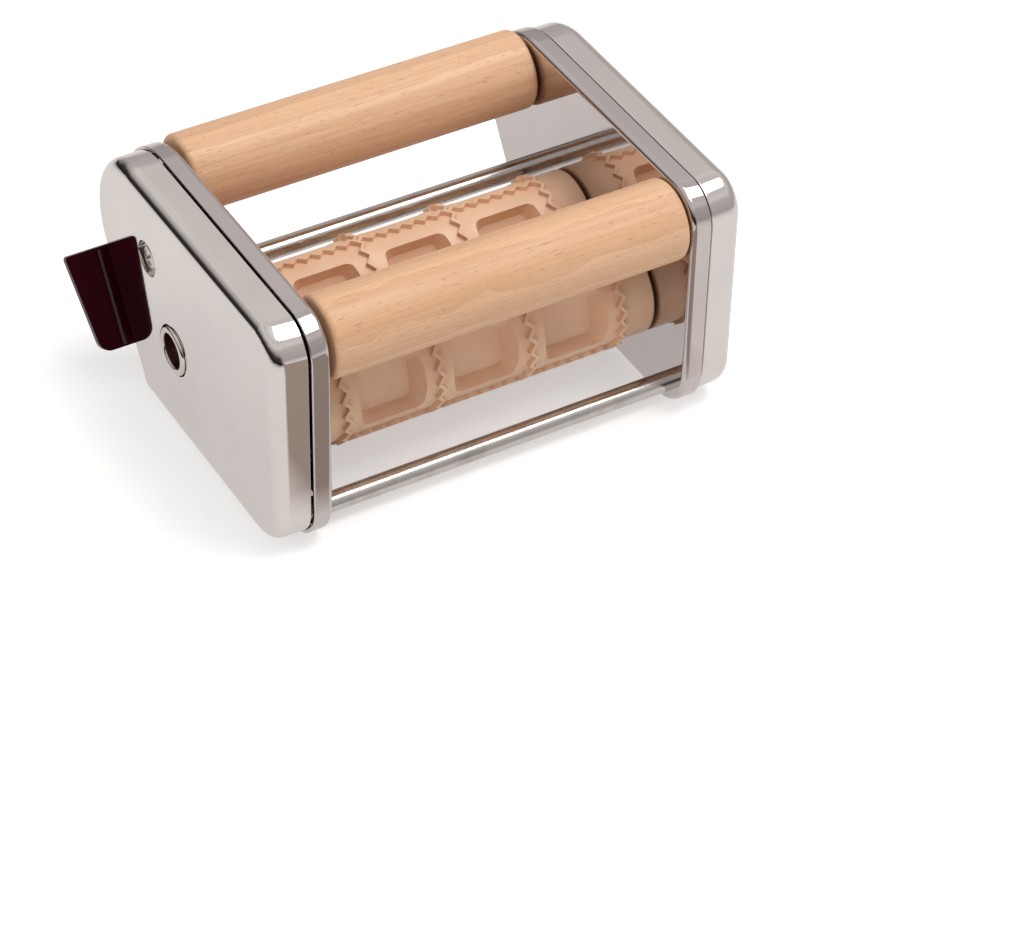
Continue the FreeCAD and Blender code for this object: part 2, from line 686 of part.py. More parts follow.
extrude(socket, "Pocket", sketch, "2 * (socket_radius + %d)" % OVERRUN, True)
cross_pin = new_body("crank_cross_pin", MOULD_REAR_Y, MOULD_REAR_Z)
sketch = new_sketch(cross_pin, "XY_Plane", "cross_pin_set_in - socket_radius")
draw_circle(sketch, "-1 * " + PIN_X, "0", "cross_pin_radius")
extrude(cross_pin, "Pad", sketch, "2 * (socket_radius - cross_pin_set_in)")

# Nodes that hold several equal solids, and plain turned pieces, as shapes


def ring_solid(centre_y, centre_z, inner, outer, start, end):
    """A ring or rod about a line along X."""
    base = FreeCAD.Vector(start, centre_y, centre_z)
    along = FreeCAD.Vector(1, 0, 0)
    solid = Part.makeCylinder(outer, end - start, base, along)
    if inner > 0:
        solid = solid.cut(Part.makeCylinder(inner, end - start, base, along))
    return solid


def group(label, solids):
    feature = DOC.addObject("Part::Feature", label)
    feature.Label = label
    feature.Shape = Part.makeCompound(solids) if len(solids) > 1 else solids[0]
    return feature


def on_side(shape, side):
    """The shape itself on the right, or its mirror image on the left."""
    if side > 0:
        return shape
    return shape.mirror(FreeCAD.Vector(0, 0, 0), FreeCAD.Vector(1, 0, 0))


def screw_solid(y, z, head_x, head_radius, head, radius, length, crown):
    """A screw along X, its head seated at head_x and its shank running inward."""
    top = ring_solid(y, z, 0, head_radius, head_x, head_x + head)
    rim = [edge for edge in top.Edges if is_at(edge, head_x + head)]
    top = top.makeFillet(crown, rim)
    return top.fuse(ring_solid(y, z, 0, radius, head_x - length, head_x)).removeSplitter()


for name, side in SIDES.items():
    solids = []
    for axis in MOULD_AXES.values():
        place = [value(text) for text in axis]
        bore = value("shaft_radius + running_clearance")
        sleeve = ring_solid(*place, bore, value("bush_radius"), value(CHEEK_X), value(PLATE_X))
        flange_end = value(PLATE_X + " + bush_flange")
        flange = ring_solid(*place, bore, value("bush_flange_radius"), value(PLATE_X), flange_end)
        solids.append(on_side(sleeve.fuse(flange).removeSplitter(), side))
    group(name + "_bushes", solids)

    y = value(SCREW_Y)
    z = value("screw_height")
    seat = value(DIMPLE_X)
    back = seat - value("cover_sheet")
    hole_end = seat - value("screw_length") - OVERRUN
    pillar = ring_solid(y, z, 0, value("pillar_radius"), value(PLATE_X), back)
    hole = value("screw_radius + running_clearance")
    pillar = pillar.cut(ring_solid(y, z, 0, hole, hole_end, back + OVERRUN))
    group(name + "_cover_pillar", [on_side(pillar, side)])
    screw = screw_solid(y, z, seat, value("screw_head_radius"), value("screw_head"), value("screw_radius"),
                        value("screw_length"), value("screw_crown"))
    group(name + "_cover_screw", [on_side(screw, side)])


def retaining_ring(shaft, start):
    """An open ring on a shaft, with its slot at the top."""
    y, z = [value(text) for text in MOULD_AXES[shaft]]
    end = start + value("ring_width")
    ring = ring_solid(y, z, value("shaft_radius"), value("ring_radius"), start, end)
    slot = value("ring_slot")
    corner = FreeCAD.Vector(start - OVERRUN, y - slot / 2, z)
    return ring.cut(Part.makeBox(end - start + 2 * OVERRUN, slot, value("ring_radius") + OVERRUN, corner))


left_ring = -value(GEAR_END_X) - value("ring_width")
group("front_shaft_rings", [retaining_ring("front", place) for place in (left_ring, value(RING_X))])
group("rear_shaft_ring", [retaining_ring("rear", value(RING_X))])

# the rear roller mirrors the front one across the plane of the nip, which leans with their axes
nip_y = (value(MOULD_FRONT_Y) + value(MOULD_REAR_Y)) / 2
nip_z = (value(MOULD_FRONT_Z) + value(MOULD_REAR_Z)) / 2
across_nip = FreeCAD.Vector(0, math.cos(LEAN), math.sin(LEAN))
group("rear_mould_roller", [front_roller.Shape.mirror(FreeCAD.Vector(0, nip_y, nip_z), across_nip)])

rods = []
rod_screws = []
for y, z in RODS:
    place = (value(y), value(z))
    half = value(CHEEK_X)
    rod = ring_solid(*place, 0, value("rod_radius"), -half, half)
    for side in SIDES.values():
        depth = value("rod_screw_length") + OVERRUN
        hole_radius = value("rod_screw_radius + running_clearance")
        hole = ring_solid(*place, 0, hole_radius, half - depth, half + OVERRUN)
        rod = rod.cut(on_side(hole, side))
        screw = screw_solid(*place, value(PLATE_X), value("rod_screw_head_radius"), value("rod_screw_head"),
                            value("rod_screw_radius"), value("rod_screw_length"), value("rod_screw_crown"))
        rod_screws.append(on_side(screw, side))
    rods.append(rod)
group("tie_rods", rods)
group("tie_rod_screws", rod_screws)

# Mounting tabs on the slanted back, screwed to the cheeks' rims

tab_screws = []
for name, side in SIDES.items():
    tab = new_body(name + "_mounting_tab")
    sketch = slanted_sketch(tab)
    outer_low = COVER_X + " + tab_reach_bottom"
    outer_high = COVER_X + " + tab_reach_top"
    draw_polygon(sketch, [
        ("%d * %s" % (side, TAB_X), "0"),
        ("%d * (%s)" % (side, outer_low), "0"),
        ("%d * (%s)" % (side, outer_high), "tab_length"),
        ("%d * %s" % (side, TAB_X), "tab_length"),
    ])
    extrude(tab, "Pad", sketch, "tab_thickness", True)
    frame = sketch.Placement
    rounds = ((outer_low, "0", "tab_corner"), (outer_high, "tab_length", "tab_top_corner"))
    for place_x, place_y, radius in rounds:
        corner = frame.multVec(FreeCAD.Vector(side * value(place_x), value(place_y), 0))
        through = frame.Rotation.multVec(FreeCAD.Vector(0, 0, -value("tab_thickness")))
        line = Part.makeLine(corner, corner + through)
        on_line = lambda vertex: line.distToShape(Part.Vertex(vertex.Point))[0] < NEAR
        round_edges(tab, lambda edge: len(edge.Vertexes) == 2 and all(map(on_line, edge.Vertexes)), radius)
    sketch = slanted_sketch(tab)
    for height in TAB_SCREWS:
        draw_circle(sketch, "%d * %s" % (side, TAB_SCREW_X), height, "tab_screw_radius")
        # each screw: a low head on the tab, and a shank through the tab and the rim
        out = frame.Rotation.multVec(FreeCAD.Vector(0, 0, -1))
        thickness = value("tab_thickness")
        seat = frame.multVec(FreeCAD.Vector(side * value(TAB_SCREW_X), value(height), -thickness))
        head = Part.makeCylinder(value("tab_screw_head_radius"), value("tab_screw_head"), seat, out)
        length = value("tab_thickness + 2 * cheek_sheet")
        shank = Part.makeCylinder(value("tab_screw_radius"), length, seat - out * length, out)
        tab_screws.append(head.fuse(shank).removeSplitter())
    extrude(tab, "Pocket", sketch, "tab_thickness + %d" % OVERRUN, False)
group("tab_screws", tab_screws)

# Gears: involute flanks, 1:1, in mesh on the axis distance of the moulding rollers


def involute_outline(teeth, pitch_radius, backlash, first_angle):
    """Points of a spur gear's outline, tooth by tooth, in the plane across its axis."""
    pressure = math.radians(PRESSURE_ANGLE)
    module = 2 * pitch_radius / teeth
    base = pitch_radius * math.cos(pressure)
    tip = pitch_radius + ADDENDUM * module
    root = pitch_radius - DEDENDUM * module
    half_tooth = math.pi / (2 * teeth) - backlash / (2 * pitch_radius)
    start = math.tan(pressure) - pressure
    flank = []
    for i in range(FLANK_POINTS):
        radius = base + (tip - base) * i / (FLANK_POINTS - 1)
        turn = math.sqrt(max((radius / base) ** 2 - 1, 0))
        flank.append((radius, half_tooth + start - (turn - math.atan(turn))))
    points = []
    for tooth in range(teeth):
        middle = first_angle + 2 * math.pi * tooth / teeth
        side_points = [(root, flank[0][1])] + flank
        for radius, angle in side_points:
            points.append((radius, middle - angle))
        for radius, angle in reversed(side_points):
            points.append((radius, middle + angle))
    return [(radius * math.cos(angle), radius * math.sin(angle)) for radius, angle in points]


def make_gear(name, first_angle):
    start = -value(GEAR_END_X)
    end = -value(GEAR_X)
    centre_y, centre_z = [value(text) for text in MOULD_AXES[name]]
    outline = involute_outline(GEAR_TEETH, value(AXIS_DISTANCE) / 2, value("gear_backlash"), first_angle)
    corners = [FreeCAD.Vector(start, centre_y + u, centre_z + v) for u, v in outline]
    blank = Part.Face(Part.makePolygon(corners + corners[:1])).extrude(FreeCAD.Vector(end - start, 0, 0))
    bore = ring_solid(centre_y, centre_z, 0, value("shaft_radius"), start - OVERRUN, end + OVERRUN)
    width = value("key_width")
    low = value("key_low")
    high = value("key_high")
    key_corner = FreeCAD.Vector(start, centre_y - width / 2, centre_z + low)
    key = Part.makeBox(end - start, width, high - low, key_corner)
    slot_corner = FreeCAD.Vector(start - OVERRUN, centre_y - width / 2, centre_z)
    slot = Part.makeBox(end - start + 2 * OVERRUN, width, high, slot_corner)
    group(name + "_gear", [blank.cut(bore).cut(slot)])
    group(name + "_gear_key", [key])


make_gear("front", LEAN)
make_gear("rear", LEAN + math.pi + math.pi / GEAR_TEETH)


def write_parts():
    DOC.recompute()
    for item in DOC.Objects:
        if "Invalid" in item.State or "Error" in item.State:
            raise RuntimeError("%s is in state %s" % (item.Label, item.State))
    nodes = [item for item in DOC.Objects if item.TypeId in ("PartDesign::Body", "Part::Feature")]
    for node in nodes:
        if node.Shape.isNull() or not node.Shape.isValid() or not node.Shape.Solids:
            raise RuntimeError("%s has no valid solid" % node.Label)
    os.makedirs("parts", exist_ok=True)
    for node in nodes:
        node.Shape.exportStep(os.path.join("parts", node.Label + ".step"))
    print("%d nodes, %d solids" % (len(nodes), sum(len(node.Shape.Solids) for node in nodes)))


write_parts()
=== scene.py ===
# %% [markdown]
# # A ravioli maker, dressed for its picture
# The solid pieces of this object come from CAD, already packed as a fixed frame. Blender adds
# the looks: chromed sheet, turned beech, moulded plastic, steel, and small details such as
# screw recesses. The frame is loaded first, because every piece is placed by its numbers.

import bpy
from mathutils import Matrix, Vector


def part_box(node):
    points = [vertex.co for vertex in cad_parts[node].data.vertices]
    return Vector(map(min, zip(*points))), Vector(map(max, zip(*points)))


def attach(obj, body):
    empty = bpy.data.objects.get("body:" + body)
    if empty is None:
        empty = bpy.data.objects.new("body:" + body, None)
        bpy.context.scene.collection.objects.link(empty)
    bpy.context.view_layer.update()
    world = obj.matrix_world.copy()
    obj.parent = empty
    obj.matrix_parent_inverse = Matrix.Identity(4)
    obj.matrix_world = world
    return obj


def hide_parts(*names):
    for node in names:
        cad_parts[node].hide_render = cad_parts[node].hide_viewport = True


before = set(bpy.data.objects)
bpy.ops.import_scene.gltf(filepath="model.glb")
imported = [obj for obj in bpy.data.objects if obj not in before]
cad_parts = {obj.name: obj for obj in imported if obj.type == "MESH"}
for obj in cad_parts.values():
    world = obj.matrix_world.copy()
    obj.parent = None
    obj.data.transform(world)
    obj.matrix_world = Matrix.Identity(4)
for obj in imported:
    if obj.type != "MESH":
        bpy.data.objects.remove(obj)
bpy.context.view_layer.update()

# %% Other modules
import math

import bmesh
import bpy
from mathutils import Euler, Matrix, Vector

# %% [markdown]
# ## Shader maths as plain expressions
# A pattern such as wood grain is arithmetic on coordinates. Writing it as Python expressions
# is easier to read than linking nodes one by one, so a small class wraps a node's output:
# each operator adds the node that it needs and returns another wrapped output.

# %% A socket that can be added and multiplied


class Wire:
    """One output of a node. The operators add Math nodes."""

    def __init__(self, paint, socket):
        self.paint = paint
        self.socket = socket

    def with_number(self, operation, first, second):
        return self.paint.node("ShaderNodeMath", {"operation": operation}, {0: first, 1: second})

    def __add__(self, other):
        return self.with_number("ADD", self, other)

    __radd__ = __add__

    def __sub__(self, other):
        return self.with_number("SUBTRACT", self, other)

    def __rsub__(self, other):
        return self.with_number("SUBTRACT", other, self)

    def __mul__(self, other):
        return self.with_number("MULTIPLY", self, other)

    __rmul__ = __mul__

    def __pow__(self, other):
        return self.with_number("POWER", self, other)


# %% [markdown]
# ## A node tree in a few words
# Every finish below is a small node tree: coordinates go in, noise and ramps shape them, and
# the result drives colour, roughness and relief. One class adds such nodes by name, and a
# second one starts a material with its shader, so each finish reads as a short recipe.

# %% A node tree that is built node by node


class Net:
    """A shader node tree, with short ways to add what a pattern needs."""

    def __init__(self, tree):
        self.tree = tree

    def node(self, kind, settings=None, inputs=None, output=0):
        """Any node: its settings first, then the values or links of its sockets."""
        made = self.tree.nodes.new(kind)
        for name, setting in (settings or {}).items():
            if name == "stops":
                ramp = made.color_ramp
                while len(ramp.elements) < len(setting):
                    ramp.elements.new(0.5)
                for element, (place, colour) in zip(ramp.elements, setting):
                    element.position = place
                    element.color = (*colour, 1.0)
            else:
                setattr(made, name, setting)
        for key, source in (inputs or {}).items():
            self.plug(source, made.inputs[key])
        return Wire(self, made.outputs[output])

    def plug(self, source, socket):
        if isinstance(source, Wire):
            self.tree.links.new(source.socket, socket)
        else:
            socket.default_value = source

    def place(self, scale=(1, 1, 1), turn=(0, 0, 0), shift=(0, 0, 0)):
        """Object coordinates in metres, scaled, turned and shifted."""
        here = self.node("ShaderNodeTexCoord", output=3)
        return self.node(
            "ShaderNodeMapping",
            inputs={"Vector": here, "Scale": scale, "Rotation": turn, "Location": shift},
        )

    def noise(self, where, scale, detail=2.0, roughness=0.5):
        """Soft noise from 0 to 1; scale is in waves for each metre."""
        return self.node(
            "ShaderNodeTexNoise",
            inputs={
                "Vector": where,
                "Scale": scale,
                "Detail": detail,
                "Roughness": roughness,
            },
        )

    def ramp(self, value, stops):
        return self.node("ShaderNodeValToRGB", {"stops": stops}, {0: value})

    def stretch(self, value, low, high, to_low=0.0, to_high=1.0):
        """The value's range low to high, spread over another range."""
        return self.node(
            "ShaderNodeMapRange",
            inputs={
                "Value": value,
                "From Min": low,
                "From Max": high,
                "To Min": to_low,
                "To Max": to_high,
            },
        )

    def blend(self, factor, first, second):
        """A mix of two colours."""
        settings = {"data_type": "RGBA", "clamp_factor": True}
        return self.node("ShaderNodeMix", settings, {0: factor, 6: first, 7: second}, output=2)

    def parts(self, vector):
        """The three numbers of a vector."""
        split = self.tree.nodes.new("ShaderNodeSeparateXYZ")
        self.plug(vector, split.inputs[0])
        return [Wire(self, socket) for socket in split.outputs]

    def rays(self):
        """Masks for what is seen straight on or through glass, and for what mirrors see."""
        path = self.tree.nodes.new("ShaderNodeLightPath")
        straight = Wire(self, path.outputs["Is Camera Ray"])
        clear = Wire(self, path.outputs["Is Transmission Ray"])
        return straight + clear, Wire(self, path.outputs["Is Glossy Ray"])


class Paint(Net):
    """A material with one Principled shader."""

    def __init__(self, name, **constants):
        self.material = bpy.data.materials.new(name)
        self.material.use_nodes = True
        super().__init__(self.material.node_tree)
        self.tree.nodes.clear()
        self.shader = self.tree.nodes.new("ShaderNodeBsdfPrincipled")
        output = self.tree.nodes.new("ShaderNodeOutputMaterial")
        self.tree.links.new(self.shader.outputs[0], output.inputs["Surface"])
        for socket, number in constants.items():
            self.shader.inputs[socket.replace("_", " ")].default_value = number

    def feed(self, socket, source):
        """Connect a varying value to one of the shader's own sockets."""
        self.plug(source, self.shader.inputs[socket])

    def relief(self, height, depth):
        """Feed a height map to the shader's normal; depth is in metres."""
        bump = self.node(
            "ShaderNodeBump", inputs={"Height": height, "Distance": depth, "Strength": 1.0}
        )
        self.feed("Normal", bump)


def colour(red, green, blue):
    """A colour as seen on a screen, 0 to 255, as Blender's linear values."""
    linear = []
    for level in (red, green, blue):
        part = level / 255
        linear.append(part / 12.92 if part <= 0.04045 else ((part + 0.055) / 1.055) ** 2.4)
    return (*linear, 1.0)


def darker(tone, share):
    """The same colour with this share of its light."""
    return (*(level * share for level in tone[:3]), 1.0)


print("helpers ready")

# %% [markdown]
# ## Polished chrome
# The covers and cheeks are pressed steel sheet under polished chrome. Chrome has almost no
# colour of its own: it shows what is round it. What makes it look real is that pressed sheet
# is never quite flat, so a slow, shallow wave bends the reflections, and that handling leaves
# faint hazy patches and hair-thin wiping marks, which only roughness shows.

# %% Chrome
POLISH = 0.035


def chrome(name, tone, seed):
    paint = Paint(name, Metallic=1.0, IOR=2.5)
    patches = paint.noise(paint.place(shift=(seed, seed, 0)), 28.0, 3.0)
    marks = paint.noise(paint.place(scale=(60, 1400, 90), turn=(0.5, 0.2, 0.4)), 1.0, 3.0, 0.6)
    haze = paint.stretch(patches, 0.45, 0.75, 0.0, 0.035)
    hairs = paint.stretch(marks, 0.58, 0.72, 0.0, 0.03)
    paint.feed("Roughness", haze + hairs + POLISH)
    paint.feed("Base Color", paint.blend(paint.stretch(patches, 0.35, 0.7), tone, darker(tone, 0.95)))
    wave = paint.noise(paint.place(shift=(0, seed, seed)), 18.0, 1.0)
    grit = paint.noise(paint.place(), 900.0, 2.0)
    paint.relief(wave * 0.16 + grit * 0.0015, 0.0011)
    return paint.material


chrome_cover = chrome("polished_chrome_cover", colour(226, 221, 218), 1.0)
# The cheeks use the covers' chrome in a darker tone. The darkening is painted shade, standing in for the
# darker surroundings that the cheek rims reflect.
cheek_chrome_painted_darker = chrome("polished_chrome_cheek", colour(206, 199, 198), 3.0)
print("chrome:", chrome_cover.name, cheek_chrome_painted_darker.name)

# %% [markdown]
# ## Turned beech
# Beech is pale and even, with close growth rings and many short dark flecks that run along
# the grain. A turned roller cuts through the rings, so the pattern is worked out in the
# solid: rings round a line beside the roller, which show as long streaks on the side and as
# arcs on the ends. The flecks are noise that is stretched along the roller.

# %% Beech


def beech():
    paint = Paint("turned_beech", Roughness=0.5, IOR=1.45)
    where = paint.place(scale=(0.6, 1, 1), shift=(0, 0.03, -0.05))
    drift = paint.noise(where, 14.0, 2.0)
    rings = paint.node(
        "ShaderNodeTexWave",
        {"wave_type": "RINGS", "rings_direction": "X", "wave_profile": "SAW"},
        {"Vector": where, "Scale": 46.0, "Distortion": 2.2, "Detail": 2.0, "Detail Scale": 1.5},
        output=1,
    )
    streaks = paint.noise(paint.place(scale=(14, 700, 700)), 1.0, 3.0, 0.55)
    flecks = paint.noise(paint.place(scale=(260, 2600, 2600)), 1.0, 1.0)
    dark = paint.stretch(flecks, 0.66, 0.74)
    base = paint.ramp(rings * 0.45 + drift * 0.55, [
        (0.2, colour(215, 168, 131)[:3]),
        (0.5, colour(223, 178, 141)[:3]),
        (0.8, colour(228, 185, 149)[:3]),
    ])
    streaked = paint.blend(paint.stretch(streaks, 0.4, 0.75, 0.0, 0.35), base, colour(190, 142, 104))
    paint.feed("Base Color", paint.blend(dark * 0.55, streaked, colour(150, 100, 68)))
    paint.feed("Roughness", paint.stretch(streaks, 0.3, 0.8, 0.42, 0.6))
    paint.relief(streaks * 0.7 - dark * 0.5, 0.00006)
    return paint.material


beech_wood = beech()
print("wood:", beech_wood.name)

# %% [markdown]
# ## Moulded cream plastic
# The moulding rollers are nylon. Light goes a little way into it, it has a soft satin skin, and the tone
# drifts slowly, a little duller and warmer in places, as in any thick moulding. Both tones are warmer and
# pinker than the cream nylon itself: that cast is painted light, the warm light bounced from the dough
# sheet.

# %% Cream plastic


def cream_plastic():
    paint = Paint("cream_nylon", IOR=1.5)
    paint.shader.inputs["Subsurface Weight"].default_value = 0.12
    paint.shader.inputs["Subsurface Radius"].default_value = (0.004, 0.003, 0.002)
    stain = paint.noise(paint.place(), 60.0, 4.0, 0.55)
    skin = paint.noise(paint.place(), 2200.0, 2.0)
    tone = paint.stretch(stain, 0.4, 0.75, 0.0, 0.5)
    # Both tones carry a painted warm cast, standing in for light bounced from the dough sheet.
    tone = paint.blend(tone, colour(228, 189, 158), colour(210, 163, 129))
    paint.feed("Base Color", tone)
    paint.feed("Roughness", paint.stretch(stain, 0.3, 0.8, 0.36, 0.52))
    paint.relief(skin, 0.00002)
    return paint.material


nylon_painted_warm = cream_plastic()
print("plastic:", nylon_painted_warm.name)

# %% [markdown]
# ## Glossy black plastic
# The mounting tabs are moulded in a glossy black that leans a little to maroon where light
# rakes over it. Its gloss is a smooth skin over a faintly uneven body: flow lines run from
# the screws towards the tip, and fingers leave duller patches.

# %% Black plastic


def black_plastic(name="black_gloss_plastic", shine=0.2, tint=(1.0, 0.25, 0.4, 1.0)):
    paint = Paint(name, IOR=1.5)
    paint.shader.inputs["Coat Roughness"].default_value = 0.05
    paint.shader.inputs["Specular IOR Level"].default_value = shine
    paint.shader.inputs["Specular Tint"].default_value = tint
    paint.shader.inputs["Coat Tint"].default_value = (1.0, 0.7, 0.75, 1.0)
    smear = paint.noise(paint.place(), 45.0, 3.0)
    flow = paint.noise(paint.place(scale=(30, 260, 260)), 1.0, 2.0)
    skin = paint.noise(paint.place(), 1300.0, 2.0)
    paint.feed("Base Color", paint.blend(smear, colour(36, 1, 7), colour(48, 2, 13)))
    paint.feed("Roughness", paint.stretch(smear, 0.35, 0.75, 0.2, 0.34))
    paint.feed("Coat Weight", paint.stretch(smear, 0.3, 0.7, 0.4, 0.1) * shine)
    paint.relief(skin * 0.4 + flow * 0.6, 0.00004)
    return paint.material


black_gloss = black_plastic()

# %% [markdown]
# ## Steels
# Shafts, axles and rods are turned or drawn bar. The tool leaves fine rings round turned
# steel, so the noise is squeezed along the bar; screws are nickel plated, a little warmer
# and smoother; the springy rings are dark.

# %% Turned and plated steel


def steel(name, tone, rough, lines=(2600, 40, 40), depth=0.00002):
    paint = Paint(name, Metallic=1.0)
    tool = paint.noise(paint.place(scale=lines), 1.0, 2.0)
    spots = paint.noise(paint.place(), 130.0, 3.0)
    paint.feed("Base Color", paint.blend(paint.stretch(spots, 0.5, 0.75), tone, darker(tone, 0.8)))
    paint.feed("Roughness", paint.stretch(tool, 0.3, 0.7, rough - 0.06, rough + 0.08))
    paint.relief(tool, depth)
    return paint.material


turned_steel = steel("turned_steel", colour(176, 175, 174), 0.3)
gear_steel = steel("cut_gear_steel", colour(150, 149, 150), 0.36)
dark_steel = steel("dark_spring_steel", colour(88, 86, 86), 0.4)
nickel = steel("nickel_plate", colour(206, 200, 190), 0.22, lines=(500, 500, 500), depth=0.00001)
drawn_steel = steel(
    "bright_drawn_steel", colour(206, 203, 200), 0.2, lines=(12, 1500, 1500), depth=0.000006
)


def socket_finish():
    """Chrome on the lip, and inside the bore rougher steel whose dark maroon-brown colour is painted
    shade.
    """
    paint = Paint("socket_chrome", Metallic=1.0)
    low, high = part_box("crank_socket")
    middle = (0.0, -(low[1] + high[1]) / 2, -(low[2] + high[2]) / 2)
    across, depth, height = paint.parts(paint.place(shift=middle))
    from_axis = (depth * depth + height * height) ** 0.5
    inside = paint.stretch(from_axis, 0.0076, 0.0071)
    inside = inside * paint.stretch(across, low[0] + 0.0004, low[0] + 0.0012)
    turning = paint.noise(paint.place(scale=(2600, 60, 60)), 1.0, 2.0)
    bright = paint.blend(turning, colour(222, 214, 210), colour(206, 197, 193))
    # Inside the bore the colour is darker and warmer: painted shade in the recess.
    bore_painted_shade = paint.blend(turning, colour(176, 138, 130), colour(138, 104, 98))
    paint.feed("Base Color", paint.blend(inside, bright, bore_painted_shade))
    paint.feed("Roughness", paint.stretch(turning, 0.3, 0.7, 0.05, 0.12) + inside * 0.2)
    paint.relief(turning, 0.00001)
    return paint.material


socket_chrome = socket_finish()


def bush_plastic():
    paint = Paint("white_bearing_plastic", IOR=1.5)
    skin = paint.noise(paint.place(), 900.0, 2.0)
    paint.feed("Base Color", paint.blend(skin, colour(216, 214, 206), colour(200, 196, 186)))
    paint.feed("Roughness", paint.stretch(skin, 0.3, 0.7, 0.4, 0.5))
    paint.relief(skin, 0.00003)
    return paint.material


bearing_white = bush_plastic()
print("steels and bushes ready")

# %% [markdown]
# ## Finishes on the CAD pieces
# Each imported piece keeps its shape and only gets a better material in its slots.

# %% Assign the finishes
FINISHES = {
    "left_cover": chrome_cover,
    "right_cover": chrome_cover,
    "left_cheek": cheek_chrome_painted_darker,
    "right_cheek": cheek_chrome_painted_darker,
    "front_wood_roller": beech_wood,
    "rear_wood_roller": beech_wood,
    "front_mould_roller": nylon_painted_warm,
    "rear_mould_roller": nylon_painted_warm,
    "left_mounting_tab": black_gloss,
    "right_mounting_tab": black_gloss,
    "front_gear": gear_steel,
    "rear_gear": gear_steel,
    "front_shaft_rings": dark_steel,
    "rear_shaft_ring": dark_steel,
    "left_bushes": bearing_white,
    "right_bushes": bearing_white,
    "crank_socket": socket_chrome,
    "crank_cross_pin": nickel,
    "tie_rods": drawn_steel,
}
for node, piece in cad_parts.items():
    finish = FINISHES.get(node, turned_steel)
    for slot in piece.material_slots:
        slot.material = finish
    if not piece.material_slots:
        piece.data.materials.append(finish)
print("finished", len(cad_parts), "CAD pieces")

# %% [markdown]
# ## Screws
# Small cross-head screws hold the covers, the tabs and the tie rods. Their CAD stand-ins are
# plain, so detailed ones take their places. A real head is pressed cold: it has a flat seat,
# a rounded crown and a tapered cross, and its shank is rolled to a thread. One screw is
# modelled at a radius of one, and a Geometry Nodes tree copies it to every place that it is
# given, which is how repeated hardware is best made: the shape is edited in one place.

# %% One screw of each kind, as a mesh
AROUND = 48


def lathe(profile, around=AROUND):
    """A closed solid turned about Z from (radius, height) points that start and end on the axis."""
    bm = bmesh.new()
    rings = []
    for radius, height in profile:
        if radius == 0:
            rings.append([bm.verts.new((0, 0, height))])
            continue
        angles = [2 * math.pi * i / around for i in range(around)]
        rings.append([bm.verts.new((radius * math.cos(a), radius * math.sin(a), height)) for a in angles])
    for low, high in zip(rings, rings[1:]):
        for i in range(around):
            j = (i + 1) % around
            corners = [low[i % len(low)], low[j % len(low)], high[j % len(high)], high[i % len(high)]]
            unique = list(dict.fromkeys(corners))
            bm.faces.new(unique)
    bmesh.ops.recalc_face_normals(bm, faces=bm.faces)
    return bm


def cross_cutter(width, half_length, top, depth):
    """Two crossed wedges, narrower at the bottom, that cut the recess."""
    bm = bmesh.new()
    for turn in (0, math.pi / 2):
        corners = []
        for height, taper in ((top + 0.2, 1.25), (top - depth, 0.55)):
            for x, y in ((-1, -1), (1, -1), (1, 1), (-1, 1)):
                corners.append((x * half_length * taper, y * width / 2 * taper, height))
        spin = Matrix.Rotation(turn, 3, "Z")
        made = [bm.verts.new(spin @ Vector(corner)) for corner in corners]
        for side in ((0, 1, 2, 3), (7, 6, 5, 4), (0, 4, 5, 1), (1, 5, 6, 2), (2, 6, 7, 3), (3, 7, 4, 0)):
            bm.faces.new([made[i] for i in side])
        bmesh.ops.recalc_face_normals(bm, faces=bm.faces)
    return bm


def as_object(name, bm):
    mesh = bpy.data.meshes.new(name)
    bm.to_mesh(mesh)
    bm.free()
    made = bpy.data.objects.new(name, mesh)
    bpy.context.scene.collection.objects.link(made)
    return made


def plain_mesh(source, name):
    """The object's mesh with its modifiers applied."""
    ready = source.evaluated_get(bpy.context.evaluated_depsgraph_get())
    mesh = bpy.data.meshes.new_from_object(ready)
    mesh.name = name
    return mesh


def model_screw(name, head, crown, shank, length, pitch):
    """A screw with a head radius of one, its seat at height zero and its head upward."""
    turns = int(length / pitch)
    profile = [(0, -length), (shank * 0.7, -length)]
    for i in range(turns):
        base = -length + pitch * (i + 0.25)
        profile += [(shank * 0.86, base), (shank, base + pitch * 0.4)]
    profile += [(shank, -0.02), (shank, 0), (1 - crown * 0.15, 0), (1, crown * 0.15)]
    rise = head - crown
    steps = 7
    for i in range(steps + 1):
        angle = math.pi / 2 * i / steps
        profile.append((1 - crown + crown * math.cos(angle), rise + crown * 0.8 * math.sin(angle)))
    profile += [((1 - crown) * 0.5, head - crown * 0.05), (0, head)]
    screw = as_object(name, lathe(profile))
    cutter = as_object(name + "_cutter", cross_cutter(0.26, 0.62, head, head * 0.72))
    cut = screw.modifiers.new("recess", "BOOLEAN")
    cut.operation = "DIFFERENCE"
    cut.solver = "EXACT"
    cut.use_self = True
    cut.object = cutter
    mesh = plain_mesh(screw, name + "_mesh")
    bpy.data.objects.remove(cutter)
    bpy.data.objects.remove(screw)
    for face in mesh.polygons:
        face.use_smooth = False
    return mesh


print("screw modelling ready")

# %% [markdown]
# ## Copying a screw to its places
# A screw could be duplicated in Python, but a Geometry Nodes tree does it once for all kinds.
# Its inputs are the places, the screw, its size, a seed and the finish. Each copy stands along
# the direction that its place gives, and turns by a random angle, because nobody lines up
# the crosses of real screws. The seed is fixed, so the angles are the same at every run.

# %% A tree that copies a screw to its places


